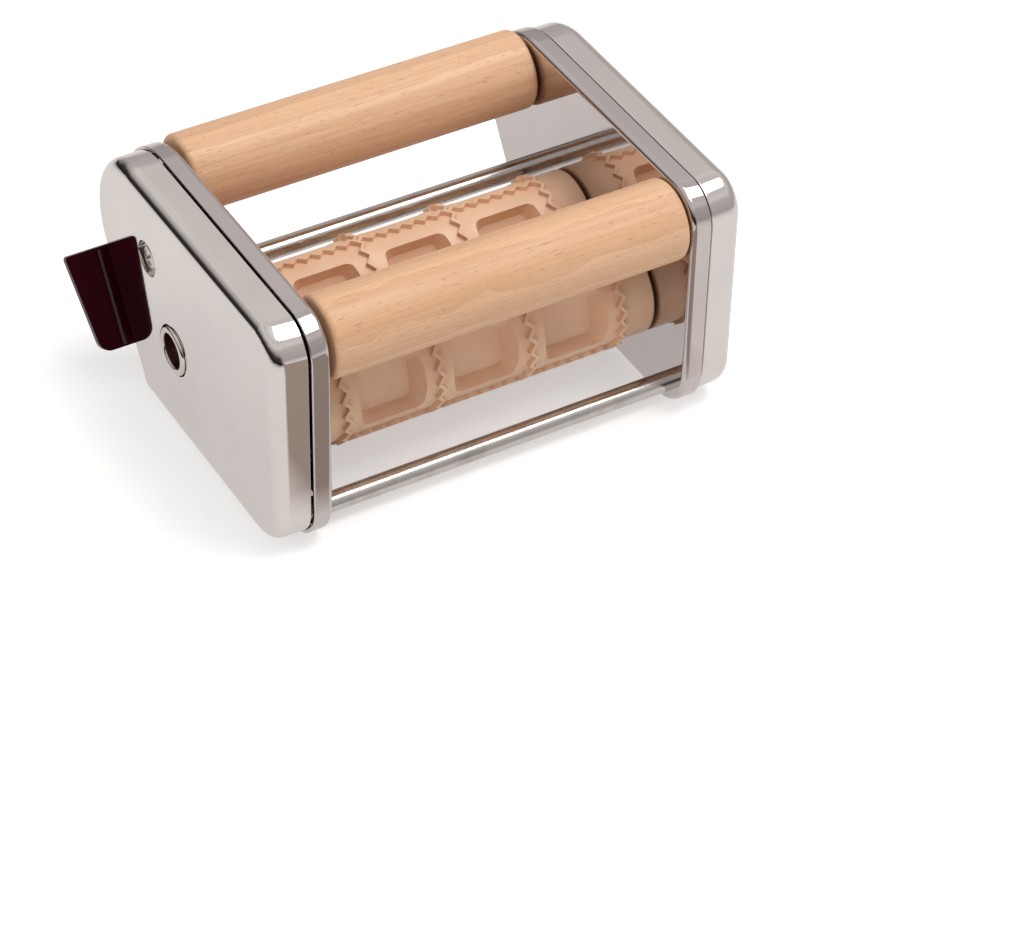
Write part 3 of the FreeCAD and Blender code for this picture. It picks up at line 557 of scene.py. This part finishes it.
def screw_tree():
    tree = bpy.data.node_groups.new("place_screws", "GeometryNodeTree")
    made = {}
    for name, kind in (
        ("Places", "NodeSocketGeometry"),
        ("Screw", "NodeSocketObject"),
        ("Head Radius", "NodeSocketFloat"),
        ("Seed", "NodeSocketInt"),
        ("Finish", "NodeSocketMaterial"),
    ):
        made[name] = tree.interface.new_socket(name=name, in_out="INPUT", socket_type=kind)
    tree.interface.new_socket(name="Screws", in_out="OUTPUT", socket_type="NodeSocketGeometry")
    inputs = tree.nodes.new("NodeGroupInput")
    outputs = tree.nodes.new("NodeGroupOutput")

    def add(kind, **settings):
        node = tree.nodes.new(kind)
        for key, setting in settings.items():
            setattr(node, key, setting)
        return node

    link = tree.links.new
    shape = add("GeometryNodeObjectInfo", transform_space="ORIGINAL")
    link(inputs.outputs["Screw"], shape.inputs["Object"])
    outward = add("GeometryNodeInputNamedAttribute", data_type="FLOAT_VECTOR")
    outward.inputs["Name"].default_value = "outward"
    upright = add("FunctionNodeAlignRotationToVector", axis="Z")
    link(outward.outputs[0], upright.inputs["Vector"])
    spin = add("FunctionNodeRandomValue", data_type="FLOAT")
    spin.inputs[2].default_value = 0.0
    spin.inputs[3].default_value = math.tau
    link(inputs.outputs["Seed"], spin.inputs["Seed"])
    about = add("FunctionNodeAxisAngleToRotation")
    link(spin.outputs[1], about.inputs["Angle"])
    turned = add("FunctionNodeRotateRotation", rotation_space="LOCAL")
    link(upright.outputs[0], turned.inputs["Rotation"])
    link(about.outputs[0], turned.inputs["Rotate By"])
    copies = add("GeometryNodeInstanceOnPoints")
    link(inputs.outputs["Places"], copies.inputs["Points"])
    link(shape.outputs["Geometry"], copies.inputs["Instance"])
    link(turned.outputs[0], copies.inputs["Rotation"])
    link(inputs.outputs["Head Radius"], copies.inputs["Scale"])
    real = add("GeometryNodeRealizeInstances")
    link(copies.outputs[0], real.inputs[0])
    finish = add("GeometryNodeSetMaterial")
    link(real.outputs[0], finish.inputs["Geometry"])
    link(inputs.outputs["Finish"], finish.inputs["Material"])
    link(finish.outputs[0], outputs.inputs[0])
    return tree, {name: socket.identifier for name, socket in made.items()}


placing_tree, placing_inputs = screw_tree()


def place_screws(name, mesh, radius, places, seed, nodes):
    """Copies of one screw at (seat, outward) places, as one plain mesh that rides on the frame."""
    source = bpy.data.objects.new(name + "_source", mesh)
    points = bpy.data.meshes.new(name + "_places")
    points.from_pydata([seat for seat, outward in places], [], [])
    directions = points.attributes.new("outward", "FLOAT_VECTOR", "POINT")
    for entry, (seat, outward) in zip(directions.data, places):
        entry.vector = outward
    carrier = bpy.data.objects.new(name, points)
    bpy.context.scene.collection.objects.link(carrier)
    modifier = carrier.modifiers.new("screws", "NODES")
    modifier.node_group = placing_tree
    settings = {"Screw": source, "Head Radius": radius, "Seed": seed, "Finish": nickel}
    for label, setting in settings.items():
        modifier[placing_inputs[label]] = setting
    ready = plain_mesh(carrier, name)
    carrier.modifiers.clear()
    carrier.data = ready
    bpy.data.objects.remove(source)
    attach(carrier, "frame")
    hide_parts(*nodes)
    return carrier


print("tree:", placing_tree.name, "inputs:", list(placing_inputs))

# %% [markdown]
# ## Where the screws go
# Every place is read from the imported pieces, so nothing has to be measured again: a screw's
# seat lies one head height below its highest corners, along the way that it faces.

# %% Find the seats


def solids_of(node):
    """The separate pieces of a node, as lists of their corners."""
    bm = bmesh.new()
    bm.from_mesh(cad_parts[node].data)
    bmesh.ops.remove_doubles(bm, verts=bm.verts, dist=1e-6)
    left = set(bm.verts)
    groups = []
    while left:
        group = []
        wave = [left.pop()]
        while wave:
            vert = wave.pop()
            group.append(vert.co.copy())
            for edge in vert.link_edges:
                other = edge.other_vert(vert)
                if other in left:
                    left.remove(other)
                    wave.append(other)
        groups.append(group)
    bm.free()
    return groups


def screw_place(corners, outward, head):
    """The seat's middle and the outward direction of one CAD screw."""
    heights = [corner.dot(outward) for corner in corners]
    top = max(heights)
    middle = sum((corner for corner, height in zip(corners, heights) if height > top - head), Vector())
    count = sum(1 for height in heights if height > top - head)
    flat = middle / count
    return flat + outward * (top - head - flat.dot(outward)), outward


RIGHT = Vector((1, 0, 0))
LEFT = Vector((-1, 0, 0))
SLANT = math.radians(31.9)
BACKWARD = Vector((0, math.cos(SLANT), -math.sin(SLANT)))

# %% Place the screws
cover_screw = model_screw("cover_screw", 0.53, 0.32, 0.41, 2.04, 0.15)
cover_places = []
for node, outward in (("left_cover_screw", LEFT), ("right_cover_screw", RIGHT)):
    for corners in solids_of(node):
        cover_places.append(screw_place(corners, outward, 0.0026))
place_screws(
    "cover_screws", cover_screw, 0.0049, cover_places, 3, ["left_cover_screw", "right_cover_screw"]
)

rod_screw = model_screw("rod_screw", 0.68, 0.27, 0.57, 2.27, 0.18)
rod_places = []
for corners in solids_of("tie_rod_screws"):
    outward = RIGHT if corners[0].x > 0 else LEFT
    rod_places.append(screw_place(corners, outward, 0.003))
place_screws("rod_screws", rod_screw, 0.0044, rod_places, 8, ["tie_rod_screws"])

tab_screw = model_screw("tab_screw", 0.46, 0.3, 0.53, 2.14, 0.2)
tab_places = [screw_place(corners, BACKWARD, 0.0013) for corners in solids_of("tab_screws")]
place_screws("detailed_tab_screws", tab_screw, 0.0028, tab_places, 5, ["tab_screws"])
print("screws:", len(cover_places), "cover,", len(rod_places), "rod,", len(tab_places), "tab")

# %% [markdown]
# ## Soft edges on the sheet metal
# Each cover meets its cheek along a thin dark seam. On pressed sheet no edge is knife sharp:
# both lips are slightly rolled, and each shows a hair-thin bright line beside the seam. The
# CAD edges are sharp, so each sheet piece is copied, its seam edge gets a small bevel, and
# weighted normals keep the large flat faces flat in the reflections. The mounting tabs are
# thick glossy mouldings, so their corners are rounded the same way. Where a tab leaves its
# cover, a small bead runs along its face and catches a line of light.

# %% Roll the lips, round the tabs
SHARP = math.radians(35)


def soften(node, finish, width, chosen):
    """A copy of a CAD piece, in its place, whose chosen sharp edges are rounded."""
    bm = bmesh.new()
    bm.from_mesh(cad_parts[node].data)
    bmesh.ops.remove_doubles(bm, verts=bm.verts, dist=1e-6)
    weights = bm.edges.layers.float.new("bevel_weight_edge")
    rounded = 0
    for edge in bm.edges:
        angle = edge.calc_face_angle(0.0)
        edge.smooth = angle < SHARP
        if angle > SHARP and chosen(edge):
            edge[weights] = 1.0
            rounded += 1
    for face in bm.faces:
        face.smooth = True
    piece = as_object(node + "_softened", bm)
    bevel = piece.modifiers.new("lip", "BEVEL")
    bevel.limit_method = "WEIGHT"
    bevel.width = width
    bevel.segments = 4
    bevel.use_clamp_overlap = True
    bevel.harden_normals = True
    even = piece.modifiers.new("even", "WEIGHTED_NORMAL")
    even.keep_sharp = True
    even.weight = 100
    ready = plain_mesh(piece, node + "_softened")
    piece.modifiers.clear()
    piece.data = ready
    ready.materials.clear()
    ready.materials.append(finish)
    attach(piece, "frame")
    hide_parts(node)
    print(node, "edges rounded:", rounded)
    return piece


def at_seam(place):
    """A test for edges in the plane of the seam, at this distance from the middle."""
    return lambda edge: all(abs(abs(vert.co.x) - place) < 1e-5 for vert in edge.verts)


def round_the_tab(edge):
    """Every long or corner edge, but not the rims of the screw holes."""
    return edge.calc_length() > 0.004 or abs(edge.verts[0].co.x) > 0.098


CHEEK_SEAM = 0.0829
COVER_SEAM = 0.0836
LIP = 0.00045
TAB_ROUND = 0.0007
BEAD = 0.0009
BEAD_PLACE = 0.0987
OUTSIDE_CHEEK = 0.09
FORWARD = -BACKWARD
UP_SLANT = Vector((0, math.sin(SLANT), math.cos(SLANT)))
black_bead = black_plastic("black_bead", 1.0, (1.0, 0.95, 0.95, 1.0))


def add_root_bead(tab, side):
    """The rounded bead on the tab's face, just outside the cover, that catches a line of light."""
    corners = [vert.co for vert in tab.data.vertices if abs(vert.co.x) > OUTSIDE_CHEEK]
    face = max(corner.dot(FORWARD) for corner in corners)
    heights = [corner.dot(UP_SLANT) for corner in corners]
    length = max(heights) - min(heights) - 0.002
    middle = (max(heights) + min(heights)) / 2
    bm = bmesh.new()
    bm.from_mesh(tab.data)
    old = set(bm.verts)
    bmesh.ops.create_cone(bm, cap_ends=True, segments=32, radius1=BEAD, radius2=BEAD, depth=length)
    bead = [vert for vert in bm.verts if vert not in old]
    bmesh.ops.rotate(bm, verts=bead, matrix=UP_SLANT.to_track_quat("Z", "X").to_matrix())
    centre = RIGHT * side * BEAD_PLACE + FORWARD * face + UP_SLANT * middle
    bmesh.ops.translate(bm, verts=bead, vec=centre)
    tab.data.materials.append(black_bead)
    for vert in bead:
        for bead_face in vert.link_faces:
            bead_face.smooth = len(bead_face.verts) == 4
            bead_face.material_index = len(tab.data.materials) - 1
    bm.to_mesh(tab.data)
    bm.free()


for side, name in ((-1, "left"), (1, "right")):
    soften(name + "_cheek", cheek_chrome_painted_darker, LIP, at_seam(CHEEK_SEAM))
    soften(name + "_cover", chrome_cover, LIP, at_seam(COVER_SEAM))
    tab = soften(name + "_mounting_tab", black_gloss, TAB_ROUND, round_the_tab)
    add_root_bead(tab, side)

# %% [markdown]
# ## Crank socket
# The crank plugs into a turned and chromed cup on the end of the rear shaft, which looks out of the left
# cover. A real cup is finished on a lathe: its mouth is rolled round, a fine groove runs behind the lip,
# and inside it is unpolished. Its finish paints the inside dark, as painted shade in the bore. It is
# modelled as half a section that is spun round the shaft, which is the natural way to make anything
# turned.

# %% Turn the socket
MM = 0.001


def arc(radius, height, size, start, stop, steps=8):
    """Points of a quarter round in the (radius, height) plane of a profile."""
    angles = [math.radians(start + (stop - start) * i / steps) for i in range(steps + 1)]
    return [(radius + size * math.cos(a), height + size * math.sin(a)) for a in angles]


def drill_for(low, high):
    """A rod a little wider and longer than the cross pin, to cut its hole."""
    rod = bmesh.new()
    reach = (high[2] - low[2]) / 2 + 2 * MM
    radius = (high[0] - low[0]) / 2 + 0.02 * MM
    bmesh.ops.create_cone(rod, cap_ends=True, segments=32, radius1=radius, radius2=radius, depth=2 * reach)
    bmesh.ops.translate(rod, verts=rod.verts, vec=[(low[i] + high[i]) / 2 for i in range(3)])
    return as_object("drill", rod)


def turn_socket():
    low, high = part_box("crank_socket")
    depth = (high[0] - low[0]) / MM
    outer = (high[1] - low[1]) / 2 / MM
    mouth = low[0]
    profile = [(5.0, depth), (outer - 0.4, depth), (outer, depth - 0.4), (outer, 2.6)]
    profile += [(outer - 0.35, 2.35), (outer - 0.35, 2.05), (outer, 1.8)]
    profile += arc(outer - 1.2, 1.2, 1.2, 0, -90)
    profile += arc(8.0, 1.0, 1.0, -90, -180)
    profile += [(7.0, 6.5), (6.0, 6.6), (6.0, depth - 1.6), (5.0, depth - 1.6), (5.0, depth)]
    bm = bmesh.new()
    rings = []
    around = 96
    for radius, height in profile[:-1]:
        angles = [2 * math.pi * i / around for i in range(around)]
        rings.append([bm.verts.new((height, radius * math.cos(a), radius * math.sin(a))) for a in angles])
    for first, second in zip(rings, rings[1:] + rings[:1]):
        for i in range(around):
            j = (i + 1) % around
            bm.faces.new((first[i], first[j], second[j], second[i]))
    bmesh.ops.recalc_face_normals(bm, faces=bm.faces)
    centre = [(low[i] + high[i]) / 2 for i in range(3)]
    place = Matrix.Translation((mouth, centre[1], centre[2])) @ Matrix.Scale(MM, 4)
    bmesh.ops.transform(bm, matrix=place, verts=bm.verts)
    for face in bm.faces:
        face.smooth = True
    for edge in bm.edges:
        edge.smooth = edge.calc_face_angle(0.0) < SHARP
    socket = as_object("turned_crank_socket", bm)
    drill = drill_for(*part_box("crank_cross_pin"))
    cut = socket.modifiers.new("pin_hole", "BOOLEAN")
    cut.operation = "DIFFERENCE"
    cut.solver = "EXACT"
    cut.object = drill
    ready = plain_mesh(socket, "turned_crank_socket")
    socket.modifiers.clear()
    socket.data = ready
    bpy.data.objects.remove(drill)
    ready.materials.clear()
    ready.materials.append(socket_chrome)
    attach(socket, "rear_mould")
    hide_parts("crank_socket")
    return socket


socket = turn_socket()
print("socket faces:", len(socket.data.polygons))

# %% [markdown]
# ## Floor and light
# The picture is a plain studio shot on white. The floor is white and matt. Camera rays see it
# a little brighter, so that it goes to white away from the object and keeps a soft shadow.
# Chrome is only as good as what it reflects, so mirror rays see a different floor from the camera, and the
# world adds a pale wall on the right and a dark side on the left. In mirrors the floor is greyer and
# carries two painted reflections that no camera ray sees: a brown patch in front of the rollers, which
# paints a brown reflection on the fronts of the covers and separates them from their ends, and a dark
# patch far off to the left, which together with the dark side draws the fine dark lines along rounded
# chrome edges.

# %% Floor
FLOOR_SIZE = 12.0
CAMERA_GLOW = 0.42
LIT_SHARE = 0.26
GLOW_SHARE = 0.6
FLOOR_WHITE = (0.86, 0.86, 0.86, 1.0)
BLACK = (0.0, 0.0, 0.0, 1.0)
WHITE = (1.0, 1.0, 1.0, 1.0)
IN_MIRRORS = (1.0, 0.965, 0.945, 1.0)
FRONT_PAINTED_REFLECTION = (0.44, 0.36, 0.31, 1.0)
FAR_PAINTED_DARK_REFLECTION = (0.03, 0.027, 0.027, 1.0)


def floor_paint():
    paint = Paint("white_floor", Roughness=0.9, Specular_IOR_Level=0.0, Emission_Strength=1.0)
    straight_ray, mirror_ray = paint.rays()
    here = paint.node("ShaderNodeTexCoord", output=3)
    across, depth = paint.parts(here)[:2]
    distance = paint.node("ShaderNodeVectorMath", {"operation": "LENGTH"}, {0: here}, output=1)
    # The brown patch in front of the rollers and the dark far side are painted reflections, seen only by
    # mirror rays.
    far = paint.stretch(distance, 0.35, 0.95) * (paint.stretch(across, 0.1, -0.25) * 0.8 + 0.2)
    front_reflection_patch = paint.stretch(across, -0.085, -0.065) * paint.stretch(across, 0.105, 0.075)
    front_reflection_patch = front_reflection_patch * paint.stretch(depth, -0.092, -0.108)
    seen = paint.blend(front_reflection_patch, paint.blend(far, IN_MIRRORS, FAR_PAINTED_DARK_REFLECTION), FRONT_PAINTED_REFLECTION)
    lit = paint.blend(1 - LIT_SHARE, seen, BLACK)
    glowing = paint.blend(1 - GLOW_SHARE, seen, BLACK)
    paint.feed("Base Color", paint.blend(mirror_ray, FLOOR_WHITE, lit))
    glow = paint.blend(straight_ray * CAMERA_GLOW, BLACK, WHITE)
    paint.feed("Emission Color", paint.blend(mirror_ray, glow, glowing))
    return paint.material


def make_floor():
    mesh = bpy.data.meshes.new("floor")
    half = FLOOR_SIZE / 2
    corners = [(-half, -half, 0), (half, -half, 0), (half, half, 0), (-half, half, 0)]
    mesh.from_pydata(corners, [], [(0, 1, 2, 3)])
    floor = bpy.data.objects.new("floor", mesh)
    bpy.context.scene.collection.objects.link(floor)
    mesh.materials.append(floor_paint())
    return floor


floor = make_floor()
print("floor", FLOOR_SIZE, "m wide")

# %% [markdown]
# ## The room
# A chromed piece shows the room more than itself. The world gives plain, even light to every
# matt surface, and only mirror rays see the walls: dark near the horizon on the left, pale on
# the right, and brighter towards the ceiling. One mix on the ray's kind keeps them apart.

# %% World
# What mirrors see in the room: (height, colour) stops, from the horizon to straight up.
AMBIENT = 0.55
ROOM = [
    (0.0, (0.02, 0.018, 0.018)),
    (0.22, (0.06, 0.054, 0.053)),
    (0.38, (0.40, 0.38, 0.372)),
    (0.56, (0.62, 0.59, 0.577)),
    (0.64, (0.78, 0.745, 0.727)),
    (0.85, (0.66, 0.63, 0.62)),
    (1.0, (0.9, 0.89, 0.88)),
]
RIGHT_WALL = [
    (0.0, (0.46, 0.43, 0.425)),
    (0.5, (0.56, 0.525, 0.515)),
    (0.64, (0.78, 0.745, 0.727)),
    (0.85, (0.66, 0.63, 0.62)),
    (1.0, (0.9, 0.89, 0.88)),
]


def make_world():
    world = bpy.data.worlds.new("studio")
    world.use_nodes = True
    bpy.context.scene.world = world
    net = Net(world.node_tree)
    sky = net.tree.nodes["Background"]
    straight_ray, mirror_ray = net.rays()
    across, _, upward = net.parts(net.node("ShaderNodeTexCoord", output=0))
    to_right = net.stretch(across, -0.3, 0.15)
    mirrored = net.blend(to_right, net.ramp(upward, ROOM), net.ramp(upward, RIGHT_WALL))
    ambient = (AMBIENT, AMBIENT * 0.99, AMBIENT * 0.98, 1.0)
    plain = net.blend(straight_ray, ambient, WHITE)
    net.plug(net.blend(mirror_ray, plain, mirrored), sky.inputs["Color"])
    sky.inputs["Strength"].default_value = 1.0
    return world


world = make_world()
print("world:", world.name)

# %% [markdown]
# ## Lamps
# Two soft boxes, as in a small photo studio. The large one hangs over the right shoulder and
# draws the white patches on the rounded corners. The small one on the left only lifts the
# shadows, so it is hidden from mirrors.

# %% Lamps
LAMP_TARGET = (0, 0, 0.05)


def softbox(name, place, size, power, tint=(1.0, 1.0, 1.0)):
    light = bpy.data.lights.new(name, "AREA")
    light.shape = "RECTANGLE"
    light.size, light.size_y = size
    light.energy = power
    light.color = tint
    lamp = bpy.data.objects.new(name, light)
    lamp.location = place
    toward = Vector(LAMP_TARGET) - Vector(place)
    lamp.rotation_euler = toward.to_track_quat("-Z", "Y").to_euler()
    bpy.context.scene.collection.objects.link(lamp)
    return lamp


softbox("overhead_softbox", (0.5, -0.25, 1.5), (1.1, 0.8), 15.0, (1.0, 0.995, 0.985))
side_lamp = softbox("side_softbox", (-1.6, -0.6, 0.7), (0.7, 0.7), 4.0)
side_lamp.visible_glossy = False
print("lamps placed")

# %% [markdown]
# ## Camera
# The camera was found from the photo: straight edges of the object, whose sizes are known,
# fix where it stood, which way it looked, and how long its lens was.

# %% Camera
CAMERA_PLACE = (-0.5379, -0.9642, 0.9067)
CAMERA_TURN = (49.0040, -1.1780, -30.1636)
LENS = 129.56

camera_data = bpy.data.cameras.new("camera")
camera_data.sensor_width = 36.0
camera_data.sensor_fit = "HORIZONTAL"
camera_data.lens = LENS
camera_data.clip_start = 0.05
camera = bpy.data.objects.new("camera", camera_data)
camera.location = CAMERA_PLACE
camera.rotation_euler = Euler([math.radians(angle) for angle in CAMERA_TURN], "XYZ")
bpy.context.scene.collection.objects.link(camera)
bpy.context.scene.camera = camera
bpy.context.scene.view_settings.view_transform = "Standard"
print("camera at", tuple(round(c, 3) for c in camera.location))
